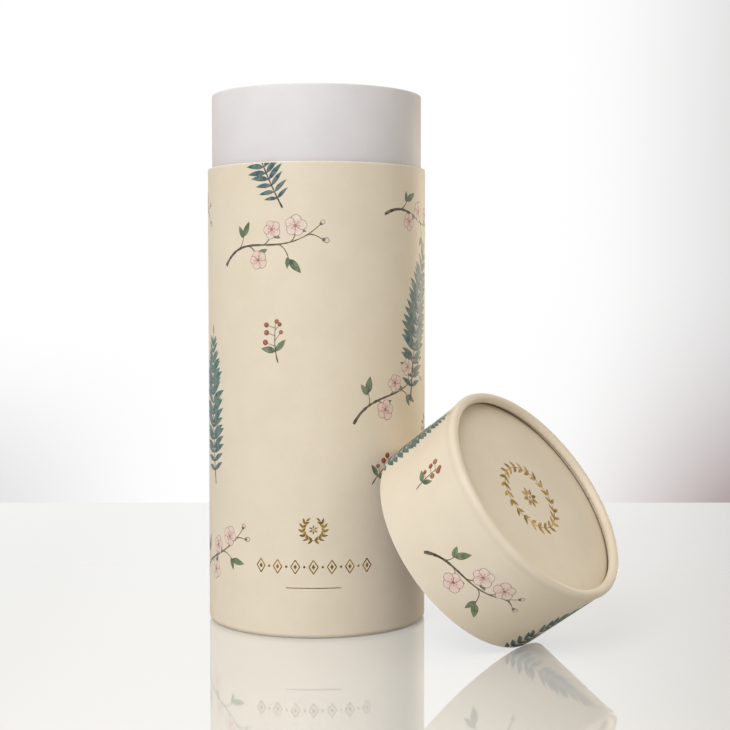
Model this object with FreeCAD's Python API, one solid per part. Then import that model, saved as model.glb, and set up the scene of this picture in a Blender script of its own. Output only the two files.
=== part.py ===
import FreeCAD
import Part
import math
import os

# Cylindrical gift tube box, in millimetres, +Z up, with the origin in the middle of its foot.
# The body is a wound board tube in printed paper. Its lower end rolls inwards and carries the base disc.
# A white inner tube is glued into the body and stands out of it as the neck.
# The lid is a short tube of the same outside size. Its upper end rolls inwards over a sunk top disc.
# The lid is off: it stands on the edge of its mouth and leans on the body.

# Outside sizes
TUBE_DIAMETER = 90.0  # body and lid, over the printed paper
BODY_HEIGHT = 186.0  # floor to the shoulder that stops the lid
NECK_REVEAL = 30.0  # neck that shows above the shoulder
LID_HEADROOM = 2.9  # room left over the neck inside the closed lid

# Papers and boards
WRAP_THICKNESS = 0.2  # printed paper on body, lid and discs
LINING_THICKNESS = 0.45  # white card on the neck and inside tube and lid
BODY_BOARD_THICKNESS = 1.85
NECK_BOARD_THICKNESS = 1.3
BASE_DISC_THICKNESS = 1.8
LID_DISC_THICKNESS = 1.8
FLOOR_THICKNESS = 1.2  # floor disc inside the inner tube
GLUE_LINE = 0.05  # film between two glued layers

# Fits, each on the radius
NECK_SEAT_GAP = 0.15  # inner tube glued into the body tube
LID_FIT_GAP = 0.15  # lid sliding over the neck
DISC_FIT_GAP = 0.1  # end discs in their tubes
FLOOR_FIT_GAP = 0.15  # floor disc in the inner tube

# Rolled rims
BODY_ROLL_HOLLOW = 0.2  # radius of the space left in the middle of the body's roll
LID_ROLL_HOLLOW = 0.75  # the same in the lid's roll
LID_ROLL_SWELL = 0.45  # how far the lid's roll stands out of its wall
LID_FLARE = 3.0  # height over which the lid's wall widens to its roll
LID_DISC_DROP = 1.05  # from the lid's roll down to the paper on its disc
ROLL_TURN = 270.0  # degrees of roll, which ends towards the disc
FOOT_FLAT = 0.1  # depth of the flat that standing presses into the lower roll

# Lap of the printed paper where its ends meet, at the back
LAP_WIDTH = 8.0
LAP_DIRECTION = 90.0  # degrees from +X, seen from above

# The lid at rest
LEAN_TILT = 54.2  # degrees between the lid's axis and the vertical
LEAN_DIRECTION = -34.3  # degrees from +X to where the lid leans away from
LEAN_GAP = 0.3  # lid's edge to the body wall

# Radii, from the outside inwards
tube_radius = TUBE_DIAMETER / 2
wrap_depth = WRAP_THICKNESS + GLUE_LINE
body_bore_radius = tube_radius - wrap_depth - BODY_BOARD_THICKNESS
neck_board_radius = body_bore_radius - NECK_SEAT_GAP
neck_sleeve_bore = neck_board_radius + GLUE_LINE
neck_radius = neck_sleeve_bore + LINING_THICKNESS
neck_board_bore = neck_board_radius - NECK_BOARD_THICKNESS
neck_liner_radius = neck_board_bore - GLUE_LINE
tube_bore_radius = neck_liner_radius - LINING_THICKNESS
lid_bore_radius = neck_radius + LID_FIT_GAP
lid_liner_radius = lid_bore_radius + LINING_THICKNESS
lid_board_bore = lid_liner_radius + GLUE_LINE
lid_board_thickness = tube_radius - wrap_depth - lid_board_bore
body_roll_radius = wrap_depth + BODY_BOARD_THICKNESS + BODY_ROLL_HOLLOW
lid_roll_radius = wrap_depth + lid_board_thickness + LID_ROLL_HOLLOW

# Heights in the body, from the floor up
base_label_bottom = 2 * body_roll_radius - FOOT_FLAT + GLUE_LINE
base_disc_bottom = base_label_bottom + WRAP_THICKNESS + GLUE_LINE
base_disc_top = base_disc_bottom + BASE_DISC_THICKNESS
neck_bottom = base_disc_top + GLUE_LINE
neck_top = BODY_HEIGHT + NECK_REVEAL
floor_top = neck_bottom + FLOOR_THICKNESS

# Heights in the lid, from its mouth up
lid_ceiling_bottom = NECK_REVEAL + LID_HEADROOM
lid_disc_bottom = lid_ceiling_bottom + LINING_THICKNESS + GLUE_LINE
lid_disc_top = lid_disc_bottom + LID_DISC_THICKNESS
lid_label_bottom = lid_disc_top + GLUE_LINE
lid_label_top = lid_label_bottom + WRAP_THICKNESS
lid_height = lid_label_top + LID_DISC_DROP + 2 * lid_roll_radius

lid_wall_top = lid_height - lid_roll_radius - LID_FLARE

# Where the lid's mouth is, measured away from the body's axis and up from the floor
lean_angle = math.radians(LEAN_TILT)
lean_reach = tube_radius + LEAN_GAP + tube_radius * math.cos(lean_angle)
lean_rise = tube_radius * math.sin(lean_angle)

ORIGIN = FreeCAD.Vector(0, 0, 0)
UP = FreeCAD.Vector(0, 0, 1)
ACROSS = FreeCAD.Vector(0, 1, 0)
FULL_TURN = 360.0


def section_point(radius, height):
    """A point of the half section, which lies in the XZ plane."""
    return FreeCAD.Vector(radius, 0, height)


def revolved(edges, turn=FULL_TURN):
    """The solid that a closed half section sweeps about the tube's axis."""
    face = Part.Face(Part.Wire(edges))
    return face.revolve(ORIGIN, UP, turn)


def ring(inner_radius, outer_radius, bottom, top, turn=FULL_TURN):
    """A plain tube, or part of one."""
    corners = [
        section_point(inner_radius, bottom),
        section_point(outer_radius, bottom),
        section_point(outer_radius, top),
        section_point(inner_radius, top),
    ]
    ends = corners[1:] + corners[:1]
    return revolved([Part.LineSegment(a, b).toShape() for a, b in zip(corners, ends)], turn)


def disc(radius, bottom, thickness):
    """A flat round disc."""
    return Part.makeCylinder(radius, thickness, section_point(0, bottom))


def rolled_layer(depth, thickness, roll_radius, open_end, crest, swell=0.0, flare=0.0):
    """One layer of a wall whose end at the crest rolls inwards.

    Depth is how far the layer lies under the outside. Over the height of the flare the wall widens to the roll,
    which stands out of it by the swell.
    """
    outward = 1 if crest > open_end else -1
    middle_radius = tube_radius + swell - roll_radius
    middle_height = crest - outward * roll_radius
    outside = roll_radius - depth
    inside = outside - thickness

    def on_roll(radius, share):
        angle = math.radians(ROLL_TURN * share)
        across = middle_radius + radius * math.cos(angle)
        return section_point(across, middle_height + outward * radius * math.sin(angle))

    def roll(radius):
        return Part.Arc(*[on_roll(radius, share) for share in (0, 0.5, 1)]).toShape()

    def wall(under, radius):
        corners = [section_point(tube_radius - under, open_end), on_roll(radius, 0)]
        if flare:
            corners.insert(1, section_point(tube_radius - under, middle_height - outward * flare))
        return corners

    def lines(corners):
        return [Part.LineSegment(start, end).toShape() for start, end in zip(corners, corners[1:])]

    outer_wall = wall(depth, outside)
    inner_wall = wall(depth + thickness, inside)
    return revolved(
        [
            *lines([inner_wall[0], *outer_wall]),
            roll(outside),
            *lines([on_roll(outside, 1), on_roll(inside, 1)]),
            roll(inside),
            *lines(inner_wall[::-1]),
        ]
    )


def lap(bottom, top):
    """The strip where one end of the printed paper lies over the other."""
    turn = math.degrees(LAP_WIDTH / tube_radius)
    strip = ring(tube_radius, tube_radius + WRAP_THICKNESS, bottom, top, turn)
    strip.rotate(ORIGIN, UP, LAP_DIRECTION - turn / 2)
    return strip


def body_wrap():
    """Printed paper of the body, rolled in with the board and pressed flat where it stands."""
    paper = rolled_layer(0, WRAP_THICKNESS, body_roll_radius, BODY_HEIGHT, -FOOT_FLAT)
    below_floor = disc(TUBE_DIAMETER, -FOOT_FLAT - WRAP_THICKNESS, FOOT_FLAT + WRAP_THICKNESS)
    paper = paper.cut(below_floor)
    return paper.fuse(lap(body_roll_radius - FOOT_FLAT, BODY_HEIGHT)).removeSplitter()


def body_tube():
    """Wound board of the body, with its lower end rolled in."""
    return rolled_layer(wrap_depth, BODY_BOARD_THICKNESS, body_roll_radius, BODY_HEIGHT, -FOOT_FLAT)


def base_label():
    """Printed paper on the underside of the base disc."""
    return disc(body_bore_radius - DISC_FIT_GAP, base_label_bottom, WRAP_THICKNESS)


def base_disc():
    """Board disc that closes the body's lower end, above the roll."""
    return disc(body_bore_radius - DISC_FIT_GAP, base_disc_bottom, BASE_DISC_THICKNESS)


def neck_sleeve():
    """White card around the part of the inner tube that stands out as the neck; it ends on the shoulder."""
    return ring(neck_sleeve_bore, neck_radius, BODY_HEIGHT, neck_top)


def neck_tube():
    """Wound board of the inner tube, which stands on the base disc."""
    return ring(neck_board_bore, neck_board_radius, neck_bottom, neck_top)


def neck_liner():
    """White card on the inside of the inner tube, down to the floor disc."""
    return ring(tube_bore_radius, neck_liner_radius, floor_top + GLUE_LINE, neck_top)


def floor_pad():
    """White board disc on the base disc, as the floor of the box."""
    return disc(neck_board_bore - FLOOR_FIT_GAP, neck_bottom, FLOOR_THICKNESS)


def lid_wrap():
    """Printed paper of the lid, rolled in with the board."""
    paper = rolled_layer(0, WRAP_THICKNESS, lid_roll_radius, 0, lid_height, LID_ROLL_SWELL, LID_FLARE)
    return paper.fuse(lap(0, lid_wall_top)).removeSplitter()


def lid_tube():
    """Wound board of the lid, with its upper end rolled in."""
    return rolled_layer(wrap_depth, lid_board_thickness, lid_roll_radius, 0, lid_height, LID_ROLL_SWELL, LID_FLARE)


def lid_liner():
    """White card on the inside of the lid's wall, from the mouth to the ceiling."""
    return ring(lid_bore_radius, lid_liner_radius, 0, lid_ceiling_bottom)


def lid_disc():
    """Board disc that closes the lid, under the roll."""
    return disc(lid_board_bore - DISC_FIT_GAP, lid_disc_bottom, LID_DISC_THICKNESS)


def lid_label():
    """Printed paper on top of the lid's disc."""
    return disc(lid_board_bore - DISC_FIT_GAP, lid_label_bottom, WRAP_THICKNESS)


def lid_ceiling():
    """White card on the underside of the lid's disc."""
    return disc(lid_board_bore - DISC_FIT_GAP, lid_ceiling_bottom, LINING_THICKNESS)


def leaned(piece):
    """Moves a lid piece from standing on its mouth at the origin to leaning on the body."""
    piece.rotate(ORIGIN, ACROSS, LEAN_TILT)
    piece.translate(FreeCAD.Vector(lean_reach, 0, lean_rise))
    piece.rotate(ORIGIN, UP, LEAN_DIRECTION)
    return piece


BODY_PIECES = (
    body_wrap,
    body_tube,
    base_label,
    base_disc,
    neck_sleeve,
    neck_tube,
    neck_liner,
    floor_pad,
)
LID_PIECES = (lid_wrap, lid_tube, lid_liner, lid_disc, lid_label, lid_ceiling)


def main():
    """Writes one STEP file for each piece."""
    os.makedirs("parts", exist_ok=True)
    pieces = {make.__name__: make() for make in BODY_PIECES}
    pieces.update({make.__name__: leaned(make()) for make in LID_PIECES})
    for name, shape in pieces.items():
        shape.exportStep(f"parts/{name}.step")
        print(f"{name}: valid {shape.isValid()}, {len(shape.Solids)} solid, {shape.Volume:.1f} mm3")
    print(f"neck radius {neck_radius:.2f}, lid bore radius {lid_bore_radius:.2f}, tube bore {tube_bore_radius:.2f}")
    print(f"lid height {lid_height:.2f}, closed height {BODY_HEIGHT + lid_height:.2f}")


main()
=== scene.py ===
import math
import random

import bmesh
import bpy
from mathutils import Matrix, Vector
from mathutils.geometry import interpolate_bezier


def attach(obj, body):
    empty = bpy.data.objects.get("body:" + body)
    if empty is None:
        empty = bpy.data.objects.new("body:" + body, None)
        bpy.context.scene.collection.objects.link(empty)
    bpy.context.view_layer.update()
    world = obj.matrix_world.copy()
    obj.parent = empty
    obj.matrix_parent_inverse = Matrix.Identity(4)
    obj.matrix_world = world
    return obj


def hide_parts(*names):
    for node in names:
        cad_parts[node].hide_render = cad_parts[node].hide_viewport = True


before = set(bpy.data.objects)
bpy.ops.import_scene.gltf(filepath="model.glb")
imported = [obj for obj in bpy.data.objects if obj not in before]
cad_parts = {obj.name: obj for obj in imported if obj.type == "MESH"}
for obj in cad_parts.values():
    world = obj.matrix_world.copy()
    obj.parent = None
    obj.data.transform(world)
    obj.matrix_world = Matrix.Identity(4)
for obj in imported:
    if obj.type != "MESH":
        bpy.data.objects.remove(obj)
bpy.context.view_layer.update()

# Sizes in metres, the same as the solids have
MM = 0.001
TUBE_RADIUS = 45.0 * MM
BODY_HEIGHT = 186.0 * MM
NECK_TOP = 216.0 * MM
WRAP_THICKNESS = 0.2 * MM
GLUE_LINE = 0.05 * MM
BODY_BOARD = 1.85 * MM
BODY_ROLL = 2.3 * MM
FOOT_FLAT = 0.1 * MM
NECK_SLEEVE = (42.80 * MM, 43.25 * MM)
NECK_LINER = (40.95 * MM, 41.40 * MM)
NECK_LINER_FOOT = 7.90 * MM
LID_HEIGHT = 40.20 * MM
LID_ROLL = 1.85 * MM
LID_ROLL_SWELL = 0.45 * MM
LID_FLARE = 3.0 * MM
LID_BOARD = 0.85 * MM
LID_LINER = (43.40 * MM, 43.85 * MM)
LID_LINER_TOP = 32.90 * MM
LID_LABEL_TOP = 35.45 * MM
LAP_WIDTH = 8.0 * MM
LEAN_TILT = math.radians(54.2)
LEAN_DIRECTION = math.radians(-34.3)
LEAN_GAP = 0.3 * MM

# Edges that handling has softened and the joint in the card, which the solids leave plain
SOFT_BODY_EDGE = 0.35 * MM
SOFT_LID_EDGE = 0.3 * MM
SOFT_CARD_EDGE = 0.12 * MM
CARD_BUTT = 0.1 * MM

# Where the lid stands: from standing on its mouth at the origin to leaning on the body
LID_PLACE = (
    Matrix.Rotation(LEAN_DIRECTION, 4, "Z")
    @ Matrix.Translation(
        (TUBE_RADIUS * (1 + math.cos(LEAN_TILT)) + LEAN_GAP, 0, TUBE_RADIUS * math.sin(LEAN_TILT))
    )
    @ Matrix.Rotation(LEAN_TILT, 4, "Y")
)
BODY_PLACE = Matrix.Identity(4)

# How finely the round pieces are divided
ROUND_STEPS = 240
ROLL_STEPS = 24
FULL_TURN = 2 * math.pi
ROLL_TURN = math.radians(270)
FLARE_SHARES = (0.85, 0.7, 0.55, 0.4, 0.25, 0.1, 0.0)
LAP_STEPS = 8
LAP_RUN_OUT = math.radians(60)
LAP_PRESSED = 0.96
ORIGIN = (0, 0, 0)
UP = (0, 0, 1)
SHARP_ANGLE = math.radians(38)

# A cut edge as steps inwards and short of the end, in softened radii
SOFT_EDGE = ((0.0, 2.2), (0.0, 1.0), (0.13, 0.4), (0.42, 0.0))
PLAIN_EDGE = ((0.0, 0.0),)


def paint(red, green, blue):
    """A colour given in the usual 0 to 255 steps, as the linear colour that shaders take."""

    def linear(step):
        share = step / 255
        return share / 12.92 if share <= 0.04045 else ((share + 0.055) / 1.055) ** 2.4

    return (linear(red), linear(green), linear(blue), 1.0)


def mixed(first, second, share):
    """A colour between two colours."""
    return tuple(a + (b - a) * share for a, b in zip(first, second))


# Node helpers


def add(tree, kind, inputs=None, **settings):
    """A node with its settings, and its inputs either linked or set."""
    made = tree.nodes.new(kind)
    for key, value in settings.items():
        setattr(made, key, value)
    for key, value in (inputs or {}).items():
        if isinstance(value, bpy.types.NodeSocket):
            tree.links.new(value, made.inputs[key])
        else:
            made.inputs[key].default_value = value
    return made


def sums(tree, operation, first, second=0.0, clamp=False):
    """One step of arithmetic."""
    return add(tree, "ShaderNodeMath", {0: first, 1: second}, operation=operation, use_clamp=clamp).outputs[0]


def weighed(tree, first, first_share, second, second_share):
    """Two values added by their shares."""
    parts = [sums(tree, "MULTIPLY", first, first_share), sums(tree, "MULTIPLY", second, second_share)]
    return sums(tree, "ADD", *parts)


def vectors(tree, operation, *inputs):
    """One step of vector arithmetic."""
    return add(tree, "ShaderNodeVectorMath", dict(enumerate(inputs)), operation=operation).outputs


def between(tree, share, first, second, way="MIX"):
    """A colour mixed from two, by a mask."""
    inputs = {0: share, 6: first, 7: second}
    return add(tree, "ShaderNodeMix", inputs, data_type="RGBA", blend_type=way).outputs[2]


def stretched(tree, value, low, high, to_low=0.0, to_high=1.0, smooth=True):
    """A value's range moved onto another range."""
    kind = "SMOOTHSTEP" if smooth else "LINEAR"
    inputs = {"Value": value, "From Min": low, "From Max": high, "To Min": to_low, "To Max": to_high}
    return add(tree, "ShaderNodeMapRange", inputs, interpolation_type=kind, clamp=True).outputs[0]


def noise(tree, place, scale, detail=2.0, roughness=0.5):
    """A cloudy value around one half."""
    inputs = {"Vector": place, "Scale": scale, "Detail": detail, "Roughness": roughness}
    return add(tree, "ShaderNodeTexNoise", inputs).outputs[0]


def new_group(name, inputs, outputs):
    """An empty effect with named inputs and outputs."""
    tree = bpy.data.node_groups.new(name, "ShaderNodeTree")
    for label, kind in inputs:
        tree.interface.new_socket(label, in_out="INPUT", socket_type=kind)
    for label, kind in outputs:
        tree.interface.new_socket(label, in_out="OUTPUT", socket_type=kind)
    return tree, tree.nodes.new("NodeGroupInput").outputs, tree.nodes.new("NodeGroupOutput").inputs


def effect(tree, group, inputs):
    """A shared effect placed in a material with its own values."""
    return add(tree, "ShaderNodeGroup", inputs, node_tree=group).outputs


def fibre_effect():
    """Paper tooth: fine fibres, soft clouds in the pulp, and the height that both give."""
    tree, given, out = new_group(
        "paper_fibre",
        [("Place", "NodeSocketVector"), ("Fibre Scale", "NodeSocketFloat"), ("Cloud Scale", "NodeSocketFloat")],
        [("Fibre", "NodeSocketFloat"), ("Cloud", "NodeSocketFloat"), ("Height", "NodeSocketFloat")],
    )
    fine = noise(tree, given["Place"], given["Fibre Scale"], 4.0, 0.62)
    cloud = noise(tree, given["Place"], given["Cloud Scale"], 3.0, 0.55)
    coarse = noise(tree, given["Place"], sums(tree, "MULTIPLY", given["Fibre Scale"], 0.22), 2.0)
    tree.links.new(stretched(tree, fine, 0.3, 0.7), out["Fibre"])
    tree.links.new(stretched(tree, cloud, 0.3, 0.7), out["Cloud"])
    tree.links.new(weighed(tree, fine, 0.65, coarse, 0.35), out["Height"])
    return tree


def edge_effect():
    """Rubbed edge: a broken band on each side of a height on the piece."""
    tree, given, out = new_group(
        "rubbed_edge",
        [("Place", "NodeSocketVector"), ("Edge Height", "NodeSocketFloat"), ("Reach", "NodeSocketFloat")],
        [("Mask", "NodeSocketFloat")],
    )
    height = add(tree, "ShaderNodeSeparateXYZ", {0: given["Place"]}).outputs[2]
    away = sums(tree, "ABSOLUTE", sums(tree, "SUBTRACT", height, given["Edge Height"]))
    band = sums(tree, "SUBTRACT", 1.0, sums(tree, "DIVIDE", away, given["Reach"]), clamp=True)
    broken = stretched(tree, noise(tree, given["Place"], 420.0, 3.0, 0.6), 0.35, 0.75, 0.35, 1.0)
    tree.links.new(sums(tree, "MULTIPLY", band, broken), out["Mask"])
    return tree


PAPER_FIBRE = fibre_effect()
RUBBED_EDGE = edge_effect()

# Grain per metre, strength and depth of the tooth, and the range of roughness of each surface
PAPER_GRAIN = 2300.0
PAPER_TOOTH = (0.18, 0.03 * MM)
PAPER_GLOSS = 0.4
COATED_SHEEN = (0.44, 0.56)
CARD_SHEEN = (0.5, 0.62)
PAD_SHEEN = (0.6, 0.75)
INK_SHEEN = (0.42, 0.54)
FOIL_SHEEN = (0.14, 0.26)
FOIL_TOOTH = 0.012
FOIL_COCKLE = (1.0, 0.8 * MM)
RUB_REACH = 0.8 * MM
# Painted shade: the brown that darkens the lid label's outer ring under the rolled rim
RIM_SHADE_BROWN = paint(124, 98, 56)
BOARD_SHEEN = (0.78, 0.9)
BOARD_TOOTH = (0.4, 0.08 * MM)
BOARD_GLOSS = 0.25
PLY_THICKNESS = 0.37 * MM
FLECK_GREY = paint(96, 84, 74)


def new_finish(name):
    """A material with only its shader, and that shader."""
    finish = bpy.data.materials.new(name)
    finish.use_nodes = True
    tree = finish.node_tree
    tree.nodes.clear()
    shader = tree.nodes.new("ShaderNodeBsdfPrincipled")
    output = tree.nodes.new("ShaderNodeOutputMaterial")
    tree.links.new(shader.outputs[0], output.inputs[0])
    return finish, tree, shader.inputs


def own_place(tree, attribute):
    """Coordinates that go with the piece: its own attribute, or the object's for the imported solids."""
    if attribute:
        return add(tree, "ShaderNodeAttribute", attribute_name=attribute).outputs["Vector"]
    return tree.nodes.new("ShaderNodeTexCoord").outputs["Object"]


def roughened(tree, shader, height, strength, depth):
    """Relief from a height."""
    bump = add(tree, "ShaderNodeBump", {"Strength": strength, "Distance": depth, "Height": height})
    tree.links.new(bump.outputs[0], shader["Normal"])


def paper_finish(
    name, pale, deep, core, edge_height=None, attribute="own_place", sheen=COATED_SHEEN, rim_shade=None
):
    """Coated paper or card: fibres, soft clouds, a matt film and the paler core at a rubbed edge.

    The last argument gives a disc's middle and axis, and the radii between which its rim is darkened: painted
    shade where the rolled edge overhangs it.
    """
    finish, tree, shader = new_finish(name)
    place = own_place(tree, attribute)
    fibre = effect(tree, PAPER_FIBRE, {"Place": place, "Fibre Scale": PAPER_GRAIN, "Cloud Scale": 70.0})
    share = weighed(tree, fibre["Fibre"], 0.45, fibre["Cloud"], 0.55)
    colour = between(tree, share, pale, deep)
    if edge_height is not None:
        edge = {"Place": place, "Edge Height": edge_height, "Reach": RUB_REACH}
        colour = between(tree, effect(tree, RUBBED_EDGE, edge)["Mask"], colour, core)
    # Painted shade: the disc's outer ring darkens towards its edge, where the rolled rim overhangs it
    if rim_shade:
        middle, axis, start, end = rim_shade
        away = vectors(tree, "SUBTRACT", place, middle)[0]
        across = vectors(tree, "CROSS_PRODUCT", away, axis)[0]
        radius = vectors(tree, "LENGTH", across)["Value"]
        colour = between(tree, stretched(tree, radius, start, end), colour, RIM_SHADE_BROWN)
    tree.links.new(colour, shader["Base Color"])
    tree.links.new(stretched(tree, fibre["Fibre"], 0.0, 1.0, *sheen), shader["Roughness"])
    shader["Specular IOR Level"].default_value = PAPER_GLOSS
    roughened(tree, shader, fibre["Height"], *PAPER_TOOTH)
    return finish


def board_finish(name, pale, deep, attribute="own_place"):
    """Grey wound board: thin plies round the axis, mixed fibres and dark flecks."""
    finish, tree, shader = new_finish(name)
    place = own_place(tree, attribute)
    fibre = effect(tree, PAPER_FIBRE, {"Place": place, "Fibre Scale": 1500.0, "Cloud Scale": 160.0})
    across = vectors(tree, "MULTIPLY", place, (1.0, 1.0, 0.0))[0]
    radius = vectors(tree, "LENGTH", across)["Value"]
    wavering = weighed(tree, radius, FULL_TURN / PLY_THICKNESS, noise(tree, place, 90.0), 1.4)
    ply = stretched(tree, sums(tree, "SINE", wavering), -1.0, 1.0)
    flecks = stretched(tree, noise(tree, place, 950.0, 1.0), 0.62, 0.72)
    share = weighed(tree, fibre["Fibre"], 0.55, ply, 0.35)
    colour = between(tree, share, pale, deep)
    colour = between(tree, sums(tree, "MULTIPLY", flecks, 0.6), colour, FLECK_GREY)
    tree.links.new(colour, shader["Base Color"])
    tree.links.new(stretched(tree, fibre["Cloud"], 0.0, 1.0, *BOARD_SHEEN), shader["Roughness"])
    shader["Specular IOR Level"].default_value = BOARD_GLOSS
    ridges = sums(tree, "MULTIPLY", ply, 0.3)
    roughened(tree, shader, sums(tree, "ADD", fibre["Height"], ridges), *BOARD_TOOTH)
    return finish


def ink_finish():
    """Printed inks under the same matt film: each shape's own colour, with the grain of the paper in it."""
    finish, tree, shader = new_finish("print_ink")
    place = own_place(tree, "own_place")
    ink = add(tree, "ShaderNodeAttribute", attribute_name="ink").outputs["Color"]
    fibre = effect(tree, PAPER_FIBRE, {"Place": place, "Fibre Scale": PAPER_GRAIN, "Cloud Scale": 420.0})
    washed = between(tree, sums(tree, "MULTIPLY", fibre["Cloud"], 0.22), ink, paint(238, 226, 206))
    grained = sums(tree, "MULTIPLY", fibre["Fibre"], 0.25)
    darker = between(tree, grained, washed, paint(150, 140, 130), "MULTIPLY")
    tree.links.new(darker, shader["Base Color"])
    tree.links.new(stretched(tree, fibre["Fibre"], 0.0, 1.0, *INK_SHEEN), shader["Roughness"])
    shader["Specular IOR Level"].default_value = PAPER_GLOSS
    roughened(tree, shader, fibre["Height"], *PAPER_TOOTH)
    return finish


def foil_finish():
    """Hot foil: yellow metal with the paper's tooth and a slight cockle, so it flashes and darkens by turns."""
    finish, tree, shader = new_finish("gold_foil")
    place = own_place(tree, "own_place")
    fibre = effect(tree, PAPER_FIBRE, {"Place": place, "Fibre Scale": 1700.0, "Cloud Scale": 260.0})
    colour = between(tree, fibre["Cloud"], paint(208, 172, 92), paint(134, 104, 54))
    tree.links.new(colour, shader["Base Color"])
    tree.links.new(stretched(tree, fibre["Fibre"], 0.0, 1.0, *FOIL_SHEEN), shader["Roughness"])
    shader["Metallic"].default_value = 1.0
    cockle = noise(tree, place, 110.0, 1.0)
    tooth = sums(tree, "MULTIPLY", fibre["Height"], FOIL_TOOTH)
    roughened(tree, shader, sums(tree, "ADD", cockle, tooth), *FOIL_COCKLE)
    return finish


# Pale and deep tone of each material, and the core that shows at a rubbed edge
CREAM = (paint(235, 223, 203), paint(228, 215, 194), paint(247, 241, 231))
CARD = (paint(231, 228, 231), paint(224, 221, 225), paint(244, 242, 240))
WHITE_BOARD = (paint(233, 231, 228), paint(222, 219, 215), paint(244, 242, 240))
GREYBOARD = (paint(222, 214, 202), paint(198, 188, 174))
LID_AXIS = LID_PLACE.to_3x3() @ Vector(UP)
# Painted shade under the lid's rolled rim: the label's middle, its axis and the radii over which the ring
# darkens
LID_RIM_SHADE = (LID_PLACE.translation, LID_AXIS, 42.2 * MM, 43.6 * MM)
CREAM_BODY_FINISH = paper_finish("cream_paper_body", *CREAM, BODY_HEIGHT)
CREAM_LID_FINISH = paper_finish("cream_paper_lid", *CREAM, 0.0)
CREAM_LABEL_FINISH = paper_finish("cream_paper_label", *CREAM, attribute=None)
LID_LABEL_FINISH = paper_finish("cream_paper_lid_label", *CREAM, attribute=None, rim_shade=LID_RIM_SHADE)
CARD_NECK_FINISH = paper_finish("white_card_neck", *CARD, NECK_TOP, sheen=CARD_SHEEN)
CARD_LID_FINISH = paper_finish("white_card_lid", *CARD, 0.0, sheen=CARD_SHEEN)
CARD_FLAT_FINISH = paper_finish("white_card_flat", *CARD, attribute=None, sheen=CARD_SHEEN)
BOARD_FINISH = board_finish("grey_wound_board", *GREYBOARD)
BOARD_FLAT_FINISH = board_finish("grey_board_flat", *GREYBOARD, attribute=None)
WHITE_BOARD_FINISH = paper_finish("white_board", *WHITE_BOARD, attribute=None, sheen=PAD_SHEEN)
INK_FINISH = ink_finish()
FOIL_FINISH = foil_finish()


# Pieces of revolution


def finished(bm, name, place, body, finish, stands_for=()):
    """Turns a mesh in its own frame into a piece that rides on its body."""
    mark = bm.verts.layers.float_vector.new("own_place")
    for vert in bm.verts:
        vert[mark] = vert.co
    bmesh.ops.transform(bm, matrix=place, verts=bm.verts)
    mesh = bpy.data.meshes.new(name)
    bm.to_mesh(mesh)
    bm.free()
    mesh.materials.append(finish)
    mesh.polygons.foreach_set("use_smooth", [True] * len(mesh.polygons))
    mesh.set_sharp_from_angle(angle=SHARP_ANGLE)
    piece = bpy.data.objects.new(name, mesh)
    bpy.context.scene.collection.objects.link(piece)
    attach(piece, body)
    if stands_for:
        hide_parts(*stands_for)


def roll_middle(roll, swell, crest, outward):
    """Centre of a rolled rim in the half section."""
    return Vector((TUBE_RADIUS + swell - roll, 0, crest - outward * roll))


def flared(swell, share):
    """How far a wall has widened at a share of its flare's height."""
    return swell * share * share * (3 - 2 * share)


def rolled_skin(
    depth, roll, swell, open_end, crest, softened=0.0, turn=FULL_TURN, steps=ROUND_STEPS, roll_turn=ROLL_TURN
):
    """Outer face of one wall layer whose end at the crest rolls inwards.

    Depth is how far the layer lies under the outside, and swell how far the roll stands out of the wall.
    """
    bm = bmesh.new()
    outward = 1 if crest > open_end else -1
    middle = roll_middle(roll, swell, crest, outward)
    wall = bm.verts.new(middle + Vector((roll - depth, 0, 0)))
    bmesh.ops.spin(bm, geom=[wall], cent=middle, axis=(0, -outward, 0), angle=roll_turn, steps=ROLL_STEPS)
    shares = FLARE_SHARES if swell else ()
    flare = [(flared(swell, share), middle.z - outward * LID_FLARE * (1 - share)) for share in shares]
    edge = SOFT_EDGE if softened else PLAIN_EDGE
    edge = [(-inwards * softened, open_end + outward * short * softened) for inwards, short in edge]
    for outwards, height in flare + edge:
        wall = bmesh.ops.extrude_vert_indiv(bm, verts=[wall])["verts"][0]
        wall.co = (TUBE_RADIUS - depth + outwards, 0, height)
    section = bm.verts[:] + bm.edges[:]
    whole = turn == FULL_TURN
    bmesh.ops.spin(bm, geom=section, cent=ORIGIN, axis=UP, angle=turn, steps=steps, use_merge=whole)
    bmesh.ops.recalc_face_normals(bm, faces=bm.faces)
    return bm


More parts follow.
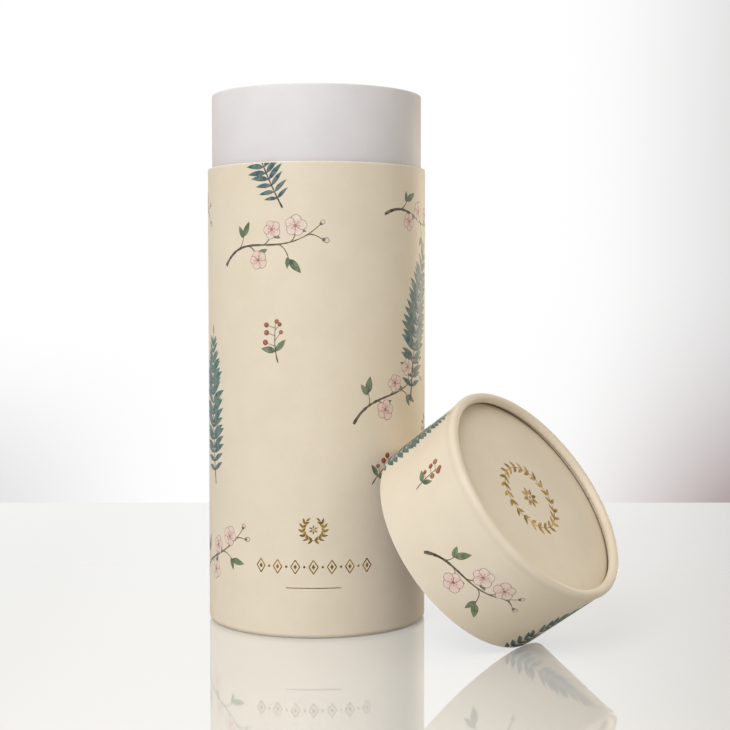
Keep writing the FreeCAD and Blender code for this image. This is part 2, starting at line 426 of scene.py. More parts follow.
def lap_over(bm, roll, swell, open_end, crest):
    """Adds the paper's outer end: thick at its cut edge, pressed flat across its width and on the roll."""
    outward = 1 if crest > open_end else -1
    middle = roll_middle(roll, swell, crest, outward)
    turn = LAP_WIDTH / TUBE_RADIUS
    strip = rolled_skin(
        -WRAP_THICKNESS, roll, swell, open_end, crest, turn=turn, steps=LAP_STEPS, roll_turn=LAP_RUN_OUT
    )
    bmesh.ops.solidify(strip, geom=strip.faces, thickness=WRAP_THICKNESS)
    for vert in strip.verts:
        angle = math.atan2(vert.co.y, vert.co.x)
        flat = Vector((math.hypot(vert.co.x, vert.co.y), 0, vert.co.z))
        past = max(0.0, (flat.z - middle.z) * outward)
        inside = Vector((middle.x, 0, middle.z if past else flat.z))
        run_out = math.atan2(past, flat.x - middle.x) / LAP_RUN_OUT
        pressed = LAP_PRESSED * min(1.0, max(angle / turn, run_out))
        flat += (inside - flat).normalized() * WRAP_THICKNESS * pressed
        vert.co = (flat.x * math.cos(angle), flat.x * math.sin(angle), flat.z)
    to_back = Matrix.Rotation(math.pi / 2 - turn / 2, 3, "Z")
    bmesh.ops.rotate(strip, verts=strip.verts, cent=ORIGIN, matrix=to_back)
    spare = bpy.data.meshes.new("lap")
    strip.to_mesh(spare)
    strip.free()
    bm.from_mesh(spare)
    bpy.data.meshes.remove(spare)


def wall_ring(inner, outer, bottom, top, softened, butt=0.0):
    """A plain tube of card with softened edges; butt is the narrow joint at the back where its ends meet."""
    bm = bmesh.new()
    section = ((inner, bottom), (outer, bottom), (outer, top), (inner, top))
    corners = [bm.verts.new((radius, 0, height)) for radius, height in section]
    bm.faces.new(corners)
    bmesh.ops.bevel(
        bm,
        geom=corners,
        offset=softened,
        offset_type="OFFSET",
        segments=3,
        profile=0.5,
        affect="VERTICES",
        material=-1,
    )
    joint = butt / outer
    if not butt:
        bmesh.ops.delete(bm, geom=bm.faces[:], context="FACES_ONLY")
    section = bm.verts[:] + bm.edges[:] + bm.faces[:]
    bmesh.ops.spin(
        bm, geom=section, cent=ORIGIN, axis=UP, angle=FULL_TURN - joint, steps=ROUND_STEPS, use_merge=not butt
    )
    bmesh.ops.rotate(bm, verts=bm.verts, cent=ORIGIN, matrix=Matrix.Rotation(math.pi / 2 + joint / 2, 3, "Z"))
    bmesh.ops.recalc_face_normals(bm, faces=bm.faces)
    return bm


def body_paper():
    """Cream paper on the body, rolled in at the foot, where standing has pressed it flat."""
    bm = rolled_skin(0, BODY_ROLL, 0, BODY_HEIGHT, -FOOT_FLAT, softened=SOFT_BODY_EDGE)
    bmesh.ops.solidify(bm, geom=bm.faces, thickness=WRAP_THICKNESS)
    lap_over(bm, BODY_ROLL, 0, BODY_HEIGHT, -FOOT_FLAT)
    for vert in bm.verts:
        vert.co.z = max(vert.co.z, 0.0)
    finished(bm, "cream_paper_body_wrap", BODY_PLACE, "tube", CREAM_BODY_FINISH, ["body_wrap"])


def body_board():
    """Grey board under the body's paper; its cut edge is the shoulder."""
    depth = WRAP_THICKNESS + GLUE_LINE
    bm = rolled_skin(depth, BODY_ROLL, 0, BODY_HEIGHT, -FOOT_FLAT, softened=SOFT_BODY_EDGE)
    bmesh.ops.solidify(bm, geom=bm.faces, thickness=BODY_BOARD)
    finished(bm, "wound_board_body", BODY_PLACE, "tube", BOARD_FINISH, ["body_tube"])


def neck_card():
    """White card outside and inside the neck."""
    bm = wall_ring(*NECK_SLEEVE, BODY_HEIGHT, NECK_TOP, SOFT_CARD_EDGE, butt=CARD_BUTT)
    finished(bm, "white_card_neck_sleeve", BODY_PLACE, "tube", CARD_NECK_FINISH, ["neck_sleeve"])
    bm = wall_ring(*NECK_LINER, NECK_LINER_FOOT, NECK_TOP, SOFT_CARD_EDGE, butt=CARD_BUTT)
    finished(bm, "white_card_neck_liner", BODY_PLACE, "tube", CARD_NECK_FINISH, ["neck_liner"])


def lid_paper():
    """Cream paper on the lid, rolled in at the top."""
    bm = rolled_skin(0, LID_ROLL, LID_ROLL_SWELL, 0.0, LID_HEIGHT, softened=SOFT_LID_EDGE)
    bmesh.ops.solidify(bm, geom=bm.faces, thickness=WRAP_THICKNESS)
    lap_over(bm, LID_ROLL, LID_ROLL_SWELL, 0.0, LID_HEIGHT)
    finished(bm, "cream_paper_lid_wrap", LID_PLACE, "lid", CREAM_LID_FINISH, ["lid_wrap"])


def lid_board():
    """Grey board under the lid's paper."""
    depth = WRAP_THICKNESS + GLUE_LINE
    bm = rolled_skin(depth, LID_ROLL, LID_ROLL_SWELL, 0.0, LID_HEIGHT, softened=SOFT_LID_EDGE)
    bmesh.ops.solidify(bm, geom=bm.faces, thickness=LID_BOARD)
    finished(bm, "wound_board_lid", LID_PLACE, "lid", BOARD_FINISH, ["lid_tube"])


def lid_card():
    """White card inside the lid's wall."""
    bm = wall_ring(*LID_LINER, 0.0, LID_LINER_TOP, SOFT_CARD_EDGE, butt=CARD_BUTT)
    finished(bm, "white_card_lid_liner", LID_PLACE, "lid", CARD_LID_FINISH, ["lid_liner"])


body_paper()
body_board()
neck_card()
lid_paper()
lid_board()
lid_card()

CARRIED_OVER = {
    "base_label": CREAM_LABEL_FINISH,
    "base_disc": BOARD_FLAT_FINISH,
    "neck_tube": BOARD_FLAT_FINISH,
    "floor_pad": WHITE_BOARD_FINISH,
    "lid_disc": BOARD_FLAT_FINISH,
    "lid_label": LID_LABEL_FINISH,
    "lid_ceiling": CARD_FLAT_FINISH,
}
for node_name, node_finish in CARRIED_OVER.items():
    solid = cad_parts[node_name]
    solid.data.materials.clear()
    solid.data.materials.append(node_finish)


# Print: flat shapes drawn in millimetres on the unrolled paper, across and up, then bent round the tube

PRINT_DEPTH = 0.1
BODY_PRINT_ENDS = (2.4, 185.6)
LID_PRINT_ENDS = (0.4, 42.3)
TWIG_LIFT, LEAF_LIFT, FLOWER_LIFT = 0.012, 0.022, 0.044
TWIG_POINTS, FROND_POINTS, SPRIG_POINTS = 36, 40, 16
TWIG_INK = paint(84, 64, 50)
TWIG_DARK = paint(56, 41, 33)
LEAF_GREEN = paint(58, 92, 66)
LEAF_PALE = paint(122, 144, 92)
LEAF_DARK = paint(34, 62, 50)
FROND_BLUE = paint(22, 66, 88)
FROND_TEAL = paint(30, 98, 104)
FROND_GREEN = paint(52, 116, 92)
PETAL_PALE = paint(247, 234, 226)
PETAL_BLUSH = paint(236, 194, 184)
PETAL_LINE = paint(128, 88, 80)
STAMEN_GOLD = paint(196, 142, 66)
BERRY_RUST = paint(178, 86, 44)
BERRY_DARK = paint(122, 50, 30)
BERRY_LIGHT = paint(228, 158, 104)


def new_art():
    """An empty flat drawing that keeps a colour for each point."""
    art = bmesh.new()
    art.verts.layers.float_color.new("ink")
    return art


def spot(across, up, angle=0.0):
    """Where a motif goes on the flat paper."""
    return Matrix.Translation((across, up, 0)) @ Matrix.Rotation(angle, 4, "Z")


def turned(place, at, angle):
    """A place moved to a point and turned there."""
    return place @ Matrix.Translation(at) @ Matrix.Rotation(angle, 4, "Z")


def blade(art, place, length, half_width, colours, lift, steps=6, sway=0.0):
    """A leaf-like shape from its foot to its tip; half_width is a function of the share of the length."""
    ink = art.verts.layers.float_color["ink"]
    grid = bmesh.ops.create_grid(art, x_segments=2, y_segments=steps, size=0.5)["verts"]
    for vert in grid:
        along, side = vert.co.y + 0.5, 2 * vert.co.x
        vert[ink] = mixed(*colours, min(1.0, along))
        vert.co = (side * half_width(along) + sway * length * along**2, length * along, lift)
    bmesh.ops.remove_doubles(art, verts=grid, dist=1e-4)
    bmesh.ops.transform(art, matrix=place, verts=[vert for vert in grid if vert.is_valid])


def stroke(art, place, path, widths, colours, lift, hand=None):
    """A brush line along points, from one width to the other."""
    ink = art.verts.layers.float_color["ink"]
    steps = len(path) - 1
    grid = bmesh.ops.create_grid(art, x_segments=1, y_segments=steps, size=0.5)["verts"]
    knots = [1 + (hand.uniform(-0.22, 0.3) if hand else 0) for _ in path]
    for vert in grid:
        step = round((vert.co.y + 0.5) * steps)
        ahead = path[min(step + 1, steps)] - path[max(step - 1, 0)]
        sideways = Vector((ahead.y, -ahead.x, 0)).normalized()
        share = step / steps
        width = (widths[0] + (widths[1] - widths[0]) * share) * knots[step]
        vert[ink] = mixed(*colours, share)
        vert.co = path[step] + sideways * width * vert.co.x
        vert.co.z = lift
    bmesh.ops.transform(art, matrix=place, verts=grid)


def dot(art, place, radius, colours, lift, sides=10):
    """A round spot with a darker rim."""
    ink = art.verts.layers.float_color["ink"]
    ring = bmesh.ops.create_circle(art, cap_ends=True, cap_tris=True, segments=sides, radius=radius)["verts"]
    for vert in ring:
        middle = vert.co.length < radius * 0.5
        vert[ink] = colours[0] if middle else colours[1]
        vert.co.z = lift
    bmesh.ops.transform(art, matrix=place, verts=ring)


def curve_points(start, first, second, end, count):
    """Points of a smooth curve on the paper."""
    return interpolate_bezier(*[Vector((*point, 0)) for point in (start, first, second, end)], count)


def leaf_width(width):
    """Pointed at both ends, widest below the middle."""
    return lambda along: width / 2 * math.sin(math.pi * along**0.8) ** 0.9 if 0 < along < 1 else 0.0


def petal_width(width):
    """Narrow foot and a broad round tip."""
    return lambda along: width / 2 * math.sin(math.pi * along**1.35) ** 0.62 if 0 < along < 1 else 0.0


def leaf(art, place, length, hand):
    """A green leaf with its darker line round it and a pale midrib."""
    width = length * hand.uniform(0.36, 0.46)
    sway = hand.uniform(-0.14, 0.14)
    tint = hand.uniform(0.0, 0.5)
    dark = mixed(LEAF_DARK, LEAF_GREEN, tint * 0.5)
    blade(art, place, length, leaf_width(width), (dark, dark), LEAF_LIFT, sway=sway)
    inner = place @ Matrix.Translation((0, length * 0.03, 0))
    fill = (mixed(LEAF_GREEN, LEAF_PALE, tint), mixed(LEAF_GREEN, LEAF_PALE, 0.4 + tint))
    blade(art, inner, length * 0.93, leaf_width(width * 0.82), fill, LEAF_LIFT + 0.006, sway=sway)
    rib = [Vector((sway * length * share**2, length * share, 0)) for share in (0.02, 0.2, 0.4, 0.6, 0.85)]
    stroke(art, place, rib, (0.28, 0.1), (dark, dark), LEAF_LIFT + 0.012)


def flower(art, place, size, hand):
    """Five pale petals with a fine line, stamens and a blush heart."""
    turn = hand.uniform(0, FULL_TURN)
    blush = hand.uniform(0.0, 0.35)
    for petal in range(5):
        angle = turn + petal * FULL_TURN / 5 + hand.uniform(-0.08, 0.08)
        long = size * hand.uniform(0.92, 1.06)
        wide = long * hand.uniform(0.86, 1.0)
        at = place @ Matrix.Rotation(angle, 4, "Z")
        lift = FLOWER_LIFT + petal * 0.003
        rim = (PETAL_LINE, mixed(PETAL_LINE, PETAL_BLUSH, 0.35))
        blade(art, at, long, petal_width(wide), rim, lift, steps=7)
        fill = (mixed(PETAL_BLUSH, PETAL_PALE, 0.1), mixed(PETAL_PALE, PETAL_BLUSH, blush))
        inner = at @ Matrix.Translation((0, long * 0.02, 0))
        blade(art, inner, long * 0.93, petal_width(wide * 0.88), fill, lift + 0.0015, steps=7)
    for stamen in range(7):
        angle = turn + 0.3 + stamen * FULL_TURN / 7 + hand.uniform(-0.2, 0.2)
        reach = size * hand.uniform(0.3, 0.46)
        at = place @ Matrix.Rotation(angle, 4, "Z")
        line = [Vector((0, reach * share, 0)) for share in (0.0, 0.5, 1.0)]
        stroke(art, at, line, (0.16, 0.1), (PETAL_LINE, PETAL_LINE), FLOWER_LIFT + 0.02)
        tip = at @ Matrix.Translation((0, reach, 0))
        dot(art, tip, 0.2, (STAMEN_GOLD, TWIG_INK), FLOWER_LIFT + 0.023, sides=6)
    dot(art, place, size * 0.13, (STAMEN_GOLD, BERRY_DARK), FLOWER_LIFT + 0.025, sides=8)


def bud(art, place, size):
    """A closed flower in its green cup."""
    blade(art, place, size, petal_width(size * 0.72), (PETAL_LINE, PETAL_LINE), FLOWER_LIFT)
    inner = place @ Matrix.Translation((0, size * 0.04, 0))
    fill = (PETAL_BLUSH, mixed(PETAL_BLUSH, PETAL_PALE, 0.6))
    blade(art, inner, size * 0.9, petal_width(size * 0.58), fill, FLOWER_LIFT + 0.004)
    for side in (-0.5, 0.0, 0.5):
        at = place @ Matrix.Rotation(side, 4, "Z")
        cup = (LEAF_DARK, LEAF_GREEN)
        blade(art, at, size * 0.5, leaf_width(size * 0.26), cup, FLOWER_LIFT + 0.008, steps=4)


def frond(art, place, length, seed):
    """A tall frond: a bent stem with narrow leaflets in pairs that shorten to its tip."""
    hand = random.Random(seed)
    bend = length * hand.uniform(0.1, 0.18)
    stem = curve_points((0, 0), (0, length * 0.4), (bend * 0.4, length * 0.75), (bend, length), FROND_POINTS)
    stroke(art, place, stem, (0.75, 0.22), (TWIG_DARK, FROND_TEAL), LEAF_LIFT + 0.014, hand)
    pairs = round(length / 2.7)
    for pair in range(pairs):
        share = 0.1 + 0.88 * pair / pairs
        step = min(int(share * (FROND_POINTS - 1)), FROND_POINTS - 2)
        foot = stem[step]
        ahead = stem[step + 1] - foot
        heading = math.atan2(-ahead.x, ahead.y)
        long = length * 0.19 * math.sin(math.pi * (0.14 + 0.8 * share)) ** 0.8 * hand.uniform(0.9, 1.08)
        tone = hand.uniform(0.0, 0.3)
        first = mixed(FROND_BLUE, FROND_TEAL, share * 0.8 + tone * 0.4)
        last = mixed(FROND_TEAL, FROND_GREEN, min(1.0, share * 0.7 + tone))
        for side in (-1, 1):
            angle = heading + side * (1.12 - 0.5 * share + hand.uniform(-0.08, 0.08))
            at = turned(place, foot, angle)
            lift = LEAF_LIFT + (pair % 3) * 0.003
            blade(art, at, long, leaf_width(long * 0.27), (first, last), lift, steps=5, sway=-side * 0.16)
    tip = turned(place, stem[-1], -0.25)
    blade(art, tip, length * 0.07, leaf_width(length * 0.02), (FROND_TEAL, FROND_GREEN), LEAF_LIFT, steps=5)


# Share of the twig's length, side and what each side shoot carries
TWIG_SHOOTS = (
    (0.2, 1, "leaf"),
    (0.34, -1, "flower"),
    (0.5, 1, "flower"),
    (0.64, -1, "leaf"),
    (0.76, 1, "flower"),
    (0.9, -1, "bud"),
)


def flowering_twig(art, place, length, seed):
    """A brown twig with side shoots that carry flowers, buds and leaves."""
    hand = random.Random(seed)
    rise = hand.uniform(0.14, 0.26)
    bends = (length * 0.3, length * rise * 1.3), (length * 0.6, -length * 0.06)
    main = curve_points((0, 0), *bends, (length, length * rise), TWIG_POINTS)
    stroke(art, place, main, (1.15, 0.3), (TWIG_DARK, TWIG_INK), TWIG_LIFT, hand)
    for share, side, kind in TWIG_SHOOTS:
        step = int(share * (TWIG_POINTS - 1))
        foot = main[step]
        ahead = main[step + 1] - foot
        heading = math.atan2(ahead.y, ahead.x)
        angle = heading + side * hand.uniform(0.6, 1.0)
        long = length * hand.uniform(0.12, 0.2)
        end = foot + Vector((math.cos(angle), math.sin(angle), 0)) * long
        half = foot + Vector((math.cos(heading), math.sin(heading), 0)) * long * 0.5
        shoot = interpolate_bezier(foot, half, end, end, 9)
        stroke(art, place, shoot, (0.5, 0.24), (TWIG_INK, TWIG_INK), TWIG_LIFT + 0.003, hand)
        outwards = angle - math.pi / 2
        at = turned(place, end, outwards)
        if kind == "flower":
            flower(art, at, hand.uniform(3.6, 4.6), hand)
            leaf(art, turned(place, shoot[5], outwards - side * 1.2), hand.uniform(4.2, 5.6), hand)
        elif kind == "bud":
            bud(art, at, hand.uniform(2.6, 3.2))
        else:
            leaf(art, at, hand.uniform(6.0, 7.6), hand)
            leaf(art, turned(place, shoot[6], outwards + side * 0.9), hand.uniform(4.4, 5.6), hand)
    bud(art, turned(place, main[-1], -0.9), 2.6)


def berry_sprig(art, place, length, seed):
    """A short sprig of rust berries with two leaves."""
    hand = random.Random(seed)
    bends = (0, length * 0.4), (length * 0.12, length * 0.7)
    stem = curve_points((0, 0), *bends, (length * 0.24, length), SPRIG_POINTS)
    stroke(art, place, stem, (0.5, 0.22), (TWIG_DARK, TWIG_INK), TWIG_LIFT, hand)
    for number, share in enumerate((0.45, 0.58, 0.7, 0.82, 0.92, 1.0)):
        foot = stem[int(share * (SPRIG_POINTS - 1))]
        side = 1 if number % 2 else -1
        reach = length * hand.uniform(0.14, 0.24) * (0.2 if share == 1.0 else 1.0)
        end = foot + Vector((side * reach, reach * 0.7, 0))
        stalk = [foot, (foot + end) / 2, end]
        stroke(art, place, stalk, (0.26, 0.2), (TWIG_INK, TWIG_INK), TWIG_LIFT + 0.003)
        radius = hand.uniform(0.85, 1.15)
        at = place @ Matrix.Translation(end)
        dot(art, at, radius, (BERRY_RUST, BERRY_DARK), FLOWER_LIFT, sides=12)
        shine = at @ Matrix.Translation((-radius * 0.3, radius * 0.3, 0))
        dot(art, shine, radius * 0.28, (BERRY_LIGHT, BERRY_RUST), FLOWER_LIFT + 0.006, sides=6)
    for side in (-1, 1):
        leaf(art, turned(place, stem[4], side), length * 0.42, hand)


def on_body_wall(up, lift):
    """Radius and height on the body for a point of the flat print."""
    return TUBE_RADIUS + lift, up


def on_lid_wall(up, lift):
    """The same on the lid: up the wall, out with the flare and over the roll."""
    middle = roll_middle(LID_ROLL, LID_ROLL_SWELL, LID_HEIGHT, 1)
    if up > middle.z:
        turn = (up - middle.z) / LID_ROLL
        return middle.x + (LID_ROLL + lift) * math.cos(turn), middle.z + (LID_ROLL + lift) * math.sin(turn)
    share = max(0.0, 1 - (middle.z - up) / LID_FLARE)
    return TUBE_RADIUS + flared(LID_ROLL_SWELL, share) + lift, up


def cut_level(art, level, way, trimmed):
    """Cuts a drawing straight across at a height, and trims what lies beyond it."""
    whole = art.verts[:] + art.edges[:] + art.faces[:]
    bmesh.ops.bisect_plane(art, geom=whole, plane_co=(0, level, 0), plane_no=(0, way, 0), clear_outer=trimmed)


def bent_round(art, bottom, top, name, place, body, finish, on_wall=on_body_wall, bends=()):
    """Trims a drawing at the paper's ends, gives it the depth of a print, and bends it round the tube."""
    cut_level(art, bottom, -1, True)
    cut_level(art, top, 1, True)
    for level in bends:
        cut_level(art, level, 1, False)
    bmesh.ops.solidify(art, geom=art.faces, thickness=PRINT_DEPTH)
    for vert in art.verts:
        angle = vert.co.x * MM / TUBE_RADIUS
        radius, height = on_wall(vert.co.y * MM, vert.co.z * MM)
        vert.co = (radius * math.sin(angle), -radius * math.cos(angle), height)
    finished(art, name, place, body, finish)


def body_print():
    """The scattered botanical print of the body."""
    art = new_art()
    for across, up, angle, length, seed in (
        (-50, 58, 0.16, 60, 3),
        (46, 92, -0.1, 62, 5),
        (-12, 168, 0.5, 46, 7),
        (92, 30, 0.1, 60, 11),
        (-96, 112, -0.16, 62, 13),
        (128, 108, 0.12, 58, 17),
        (-124, 26, 0.2, 56, 19),
    ):
        frond(art, spot(across, up, angle), length, seed)
    for across, up, angle, length, seed in (
        (-40, 146, 0.1, 44, 23),
        (16, 84, 0.35, 42, 29),
        (-66, 18, 0.45, 42, 31),
        (30, 166, -0.25, 40, 37),
        (74, 128, 0.3, 42, 41),
        (98, 94, -0.2, 40, 43),
        (-118, 84, 0.3, 42, 47),
        (-100, 170, -0.2, 42, 53),
    ):
        flowering_twig(art, spot(across, up, angle), length, seed)
    for across, up, angle, length, seed in (
        (-14, 108, 0.3, 15, 59),
        (24, 60, -0.6, 13, 61),
        (66, 70, 0.5, 14, 67),
        (116, 166, -0.3, 14, 71),
        (-78, 92, -0.4, 14, 73),
        (-70, 150, 0.7, 13, 79),
    ):
        berry_sprig(art, spot(across, up, angle), length, seed)
    bent_round(art, *BODY_PRINT_ENDS, "botanical_print_body", BODY_PLACE, "tube", INK_FINISH)


def lid_print():
    """The same print on the lid's side."""
    art = new_art()
    for across, up, angle, length, seed in (
        (-46, -14, 0.2, 48, 83),
        (58, -8, -0.3, 46, 89),
        (128, -16, 0.1, 50, 97),
    ):
        frond(art, spot(across, up, angle), length, seed)
    for across, up, angle, length, seed in (
        (2, 10, 0.2, 38, 101),
        (78, 20, -0.1, 40, 103),
        (-112, 12, 0.2, 40, 107),
    ):
        flowering_twig(art, spot(across, up, angle), length, seed)
    for across, up, angle, length, seed in ((-20, 18, 0.4, 12, 109), (-68, 10, -0.5, 12, 113)):
        berry_sprig(art, spot(across, up, angle), length, seed)
    roll_foot = (LID_HEIGHT - LID_ROLL) / MM
    flare_foot = roll_foot - LID_FLARE / MM
    bends = [flare_foot + 0.3 * step for step in range(10)] + [roll_foot + 0.2 * step for step in range(20)]
    bent_round(art, *LID_PRINT_ENDS, "botanical_print_lid", LID_PLACE, "lid", INK_FINISH, on_lid_wall, bends)


# Foil ornaments, in the same flat millimetres

FOIL_LIFT = 0.03
FOIL_INK = (paint(226, 178, 92), paint(226, 178, 92))
WREATH_LEVEL = 43
LOZENGE_LEVEL = 28.3
LOZENGE_PITCH = 7.2
RULE_LEVEL = 20
RULE_REACH = 11


def laurel(art, place, radius, start, end, pairs, size):
    """A foil stem along an arc with leaves in pairs; gives the place of its tip."""
    turns = [start + (end - start) * step / (4 * pairs) for step in range(4 * pairs + 1)]
    stem = [Vector((radius * math.cos(turn), radius * math.sin(turn), 0)) for turn in turns]
    stroke(art, place, stem, (size * 0.11, size * 0.07), FOIL_INK, FOIL_LIFT)
    onwards = 0.0 if end > start else math.pi
    for number in range(pairs):
        turn = turns[4 * number + 1]
        foot = place @ Matrix.Rotation(turn, 4, "Z") @ Matrix.Translation((radius, 0, 0))
        for side in (-1, 1):
            at = foot @ Matrix.Rotation(onwards + side * 0.62, 4, "Z")
            lift = FOIL_LIFT + 0.004 + 0.004 * (number % 2)
            blade(art, at, size, leaf_width(size * 0.4), FOIL_INK, lift, sway=-side * 0.12)
    return turned(place @ Matrix.Rotation(turns[-1], 4, "Z"), (radius, 0, 0), onwards)


def rosette(art, place, count, size):
    """Foil leaves round a dot."""
    for number in range(count):
        turn = Matrix.Rotation(number * FULL_TURN / count, 4, "Z")
        at = place @ turn @ Matrix.Translation((0, size * 0.28, 0))
        blade(art, at, size, leaf_width(size * 0.46), FOIL_INK, FOIL_LIFT, steps=6)
    dot(art, place, size * 0.18, FOIL_INK, FOIL_LIFT, sides=16)


def lozenge(art, place, width, height, line):
    """A diamond drawn as a line, with a small solid one inside."""
    corners = [(0, -height / 2), (width / 2, 0), (0, height / 2), (-width / 2, 0)]
    ends = corners[1:] + corners[:1]
    for start, end in zip(corners, ends):
        path = [Vector((*start, 0)).lerp(Vector((*end, 0)), share) for share in (0.0, 0.25, 0.5, 0.75, 1.0)]
        stroke(art, place, path, (line, line), FOIL_INK, FOIL_LIFT)
    dot(art, place @ Matrix.Diagonal((width * 0.2, height * 0.2, 1, 1)), 1.0, FOIL_INK, FOIL_LIFT, sides=4)


def body_foil():
    """Foil low on the front: a laurel, a row of lozenges and a thin rule."""
    art = new_art()
    wreath = spot(0, WREATH_LEVEL)
    foot = -math.pi / 2
    for end in (foot + 2.45, foot - 2.45):
        tip = laurel(art, wreath, radius=4.3, start=foot, end=end, pairs=6, size=2.3)
        blade(art, tip, 2.1, leaf_width(0.9), FOIL_INK, FOIL_LIFT + 0.004)
    rosette(art, wreath, count=6, size=1.5)
    for number in range(-3, 4):
        lozenge(art, spot(number * LOZENGE_PITCH, LOZENGE_LEVEL), width=3.6, height=5.4, line=0.42)
    for number in range(-3, 3):
        between_two = spot((number + 0.5) * LOZENGE_PITCH, LOZENGE_LEVEL)
        dot(art, between_two, 0.5, FOIL_INK, FOIL_LIFT, sides=12)
    rule = [Vector((across, RULE_LEVEL, 0)) for across in range(-RULE_REACH, RULE_REACH + 1)]
    stroke(art, BODY_PLACE, rule, (0.36, 0.36), FOIL_INK, FOIL_LIFT)
    bent_round(art, *BODY_PRINT_ENDS, "gold_foil_body", BODY_PLACE, "tube", FOIL_FINISH)


def lid_foil():
    """Foil on the lid's disc: a closed laurel round a rosette."""
    art = new_art()
    laurel(art, BODY_PLACE, radius=13.5, start=0.0, end=FULL_TURN, pairs=22, size=3.9)
    rosette(art, BODY_PLACE, count=8, size=3.6)
    bmesh.ops.solidify(art, geom=art.faces, thickness=PRINT_DEPTH)
    bmesh.ops.scale(art, vec=(MM, MM, MM), verts=art.verts)
    bmesh.ops.translate(art, vec=(0, 0, LID_LABEL_TOP), verts=art.verts)
    finished(art, "gold_foil_lid", LID_PLACE, "lid", FOIL_FINISH)


body_print()
lid_print()
body_foil()
lid_foil()


# Stage, light and camera

TABLE_SIZE = (3.0, 1.8, 0.02)
TABLE_MIDDLE = (0.0, -0.552, -0.01)
TABLE_EDGE = 0.004
TABLE_WHITE = (0.56, 0.545, 0.515, 1), (0.59, 0.575, 0.545, 1)
TABLE_LIFT = 0.37
CORNER_TINT = (1.0, 1.2, 1.22)
FILL_COLOUR = (1.0, 0.91, 0.745, 1)
LAMPS_AIM = (0.02, 0, 0.1)
EYE_PLACE = (0.02007, -0.6144, 0.13210)
EYE_DOWN = 2.501
EYE_LENS = 72.54


def table_top():
    """White glossy table whose far edge lies behind the box."""
    bm = bmesh.new()
    bmesh.ops.create_cube(bm, size=1.0)
    bmesh.ops.scale(bm, vec=TABLE_SIZE, verts=bm.verts)
    bmesh.ops.translate(bm, vec=TABLE_MIDDLE, verts=bm.verts)
    edges = bm.edges[:]
    bmesh.ops.bevel(bm, geom=edges, offset=TABLE_EDGE, segments=4, profile=0.5, affect="EDGES", material=-1)
    mesh = bpy.data.meshes.new("table_top")
    bm.to_mesh(mesh)
    bm.free()
    finish = bpy.data.materials.new("white_gloss_table")
    finish.use_nodes = True
    tree = finish.node_tree
    tree.nodes.clear()
    place = tree.nodes.new("ShaderNodeTexCoord").outputs["Object"]
    across = add(tree, "ShaderNodeSeparateXYZ", {0: place}).outputs[0]
    colour = between(tree, noise(tree, place, 3.0), *TABLE_WHITE)
    matt = add(tree, "ShaderNodeBsdfDiffuse", {"Color": colour})
    # Painted shade: the camera-only lift falls off towards the right and left sides, standing in for light
    # falling off across the table
    right = stretched(tree, across, 0.02, 0.14, 0.0, 0.165)
    left = stretched(tree, across, -0.05, -0.16, 0.0, 0.1)
    sides = sums(tree, "ADD", right, left)
    shown = tree.nodes.new("ShaderNodeLightPath").outputs["Is Camera Ray"]
    lift = sums(tree, "MULTIPLY", shown, sums(tree, "SUBTRACT", TABLE_LIFT, sides))
    white = add(tree, "ShaderNodeEmission", {"Color": (0.97, 1.0, 1.01, 1), "Strength": lift})
    pale = add(tree, "ShaderNodeAddShader", {0: matt.outputs[0], 1: white.outputs[0]})
    gloss = add(tree, "ShaderNodeBsdfAnisotropic", {"Color": (0.96, 0.97, 0.98, 1), "Roughness": 0.03})
    grazing = add(tree, "ShaderNodeFresnel", {"IOR": 1.6}).outputs[0]
    share = stretched(tree, grazing, 0.0, 0.62, 0.06, 0.95, smooth=False)
    both = add(tree, "ShaderNodeMixShader", {0: share, 1: pale.outputs[0], 2: gloss.outputs[0]})
    add(tree, "ShaderNodeOutputMaterial", {0: both.outputs[0]})
    mesh.materials.append(finish)
    table = bpy.data.objects.new("table_top", mesh)
    bpy.context.scene.collection.objects.link(table)


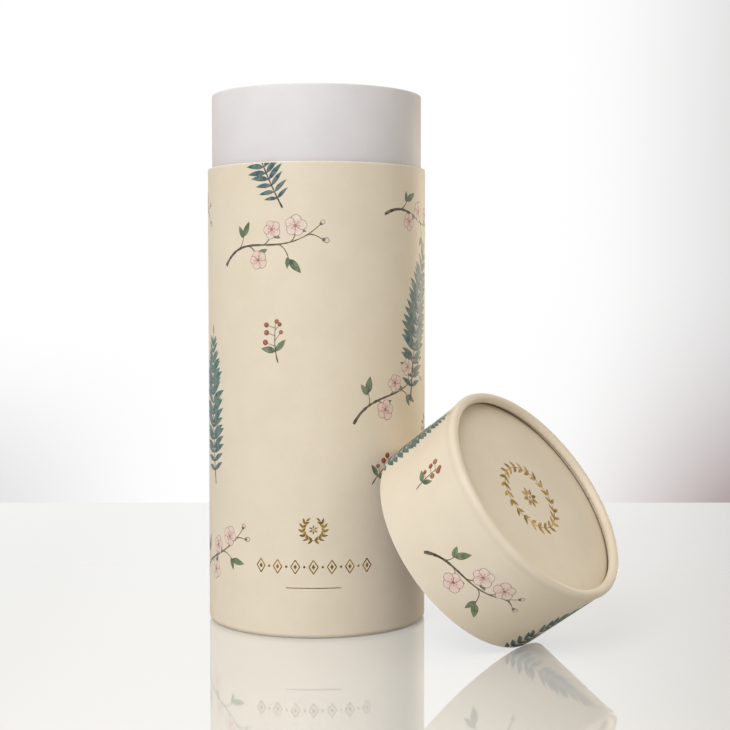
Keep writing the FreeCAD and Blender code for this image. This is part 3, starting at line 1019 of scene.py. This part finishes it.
def studio():
    """A white room to look at, and a softer even light for the box."""
    world = bpy.data.worlds.new("studio")
    bpy.context.scene.world = world
    world.use_nodes = True
    tree = world.node_tree
    tree.nodes.clear()
    direction = tree.nodes.new("ShaderNodeTexCoord").outputs["Generated"]
    way = add(tree, "ShaderNodeSeparateXYZ", {0: direction}).outputs

    # What is seen: white, darker on the right, in the low corners and behind the camera
    right = sums(tree, "MULTIPLY", stretched(tree, way[0], 0.13, 0.33), 0.34)
    low = sums(tree, "POWER", stretched(tree, way[2], 0.03, -0.15, smooth=False), 2.0)
    low = sums(tree, "MULTIPLY", low, stretched(tree, way[2], -0.32, -0.16, 0.0, 0.52))
    corner = sums(tree, "MULTIPLY", stretched(tree, way[0], 0.08, 0.3), sums(tree, "ADD", low, 0.03))
    corner = sums(tree, "MULTIPLY", corner, stretched(tree, way[1], 0.3, 0.85))
    left_corner = stretched(tree, way[2], -0.01, -0.15, 0.0, 0.28)
    left_corner = sums(tree, "MULTIPLY", stretched(tree, way[0], -0.11, -0.3), left_corner)
    level = sums(tree, "SUBTRACT", sums(tree, "SUBTRACT", 1.0, right), left_corner)
    behind = stretched(tree, way[1], -0.7, 0.0, 0.55, 1.0)
    shades = [sums(tree, "SUBTRACT", level, sums(tree, "MULTIPLY", corner, share)) for share in CORNER_TINT]
    channels = {number: sums(tree, "MULTIPLY", shade, behind) for number, shade in enumerate(shades)}
    seen = add(tree, "ShaderNodeCombineColor", channels).outputs[0]
    seen_light = add(tree, "ShaderNodeBackground", {"Color": seen, "Strength": 1.0})

    # What lights the box: warm, stronger from above, weaker from low on the right and front
    aside = sums(tree, "SUBTRACT", sums(tree, "MULTIPLY", way[0], 0.8), sums(tree, "MULTIPLY", way[1], 0.6))
    shade = stretched(tree, way[2], 0.35, 0.05, 0.0, 0.6)
    shade = sums(tree, "MULTIPLY", stretched(tree, aside, 0.1, 0.8), shade)
    upwards = stretched(tree, way[2], 0.0, 1.0, 0.49, 0.62, smooth=False)
    fill = sums(tree, "MULTIPLY", sums(tree, "SUBTRACT", 1.0, shade), upwards)
    fill_light = add(tree, "ShaderNodeBackground", {"Color": FILL_COLOUR, "Strength": fill})

    rays = tree.nodes.new("ShaderNodeLightPath").outputs
    shown = sums(tree, "MAXIMUM", rays["Is Camera Ray"], rays["Is Glossy Ray"])
    shown = sums(tree, "MAXIMUM", shown, rays["Is Transmission Ray"])
    both = add(tree, "ShaderNodeMixShader", {0: shown, 1: fill_light.outputs[0], 2: seen_light.outputs[0]})
    add(tree, "ShaderNodeOutputWorld", {0: both.outputs[0]})


def soft_lamp(name, at, size, power, colour):
    """A square soft box that points at the box."""
    lamp = bpy.data.lights.new(name, "AREA")
    lamp.shape = "SQUARE"
    lamp.size = size
    lamp.energy = power
    lamp.color = colour
    box = bpy.data.objects.new(name, lamp)
    box.location = at
    box.rotation_euler = (Vector(LAMPS_AIM) - Vector(at)).to_track_quat("-Z", "Y").to_euler()
    box.visible_camera = False
    bpy.context.scene.collection.objects.link(box)


def camera():
    """The photograph's place and lens."""
    lens = bpy.data.cameras.new("camera")
    lens.sensor_fit = "HORIZONTAL"
    lens.sensor_width = 36.0
    lens.lens = EYE_LENS
    lens.clip_start = 0.01
    eye = bpy.data.objects.new("camera", lens)
    eye.location = EYE_PLACE
    eye.rotation_euler = (math.radians(90 - EYE_DOWN), 0, 0)
    bpy.context.scene.collection.objects.link(eye)
    bpy.context.scene.camera = eye


table_top()
studio()
soft_lamp("key_left", at=(-0.4, -0.98, 0.85), size=0.7, power=9.4, colour=(0.905, 0.94, 1.0))
soft_lamp("rim_right", at=(0.66, 0.77, 0.17), size=0.35, power=1.95, colour=(1.0, 0.87, 0.66))
camera()
bpy.context.scene.view_settings.view_transform = "Standard"
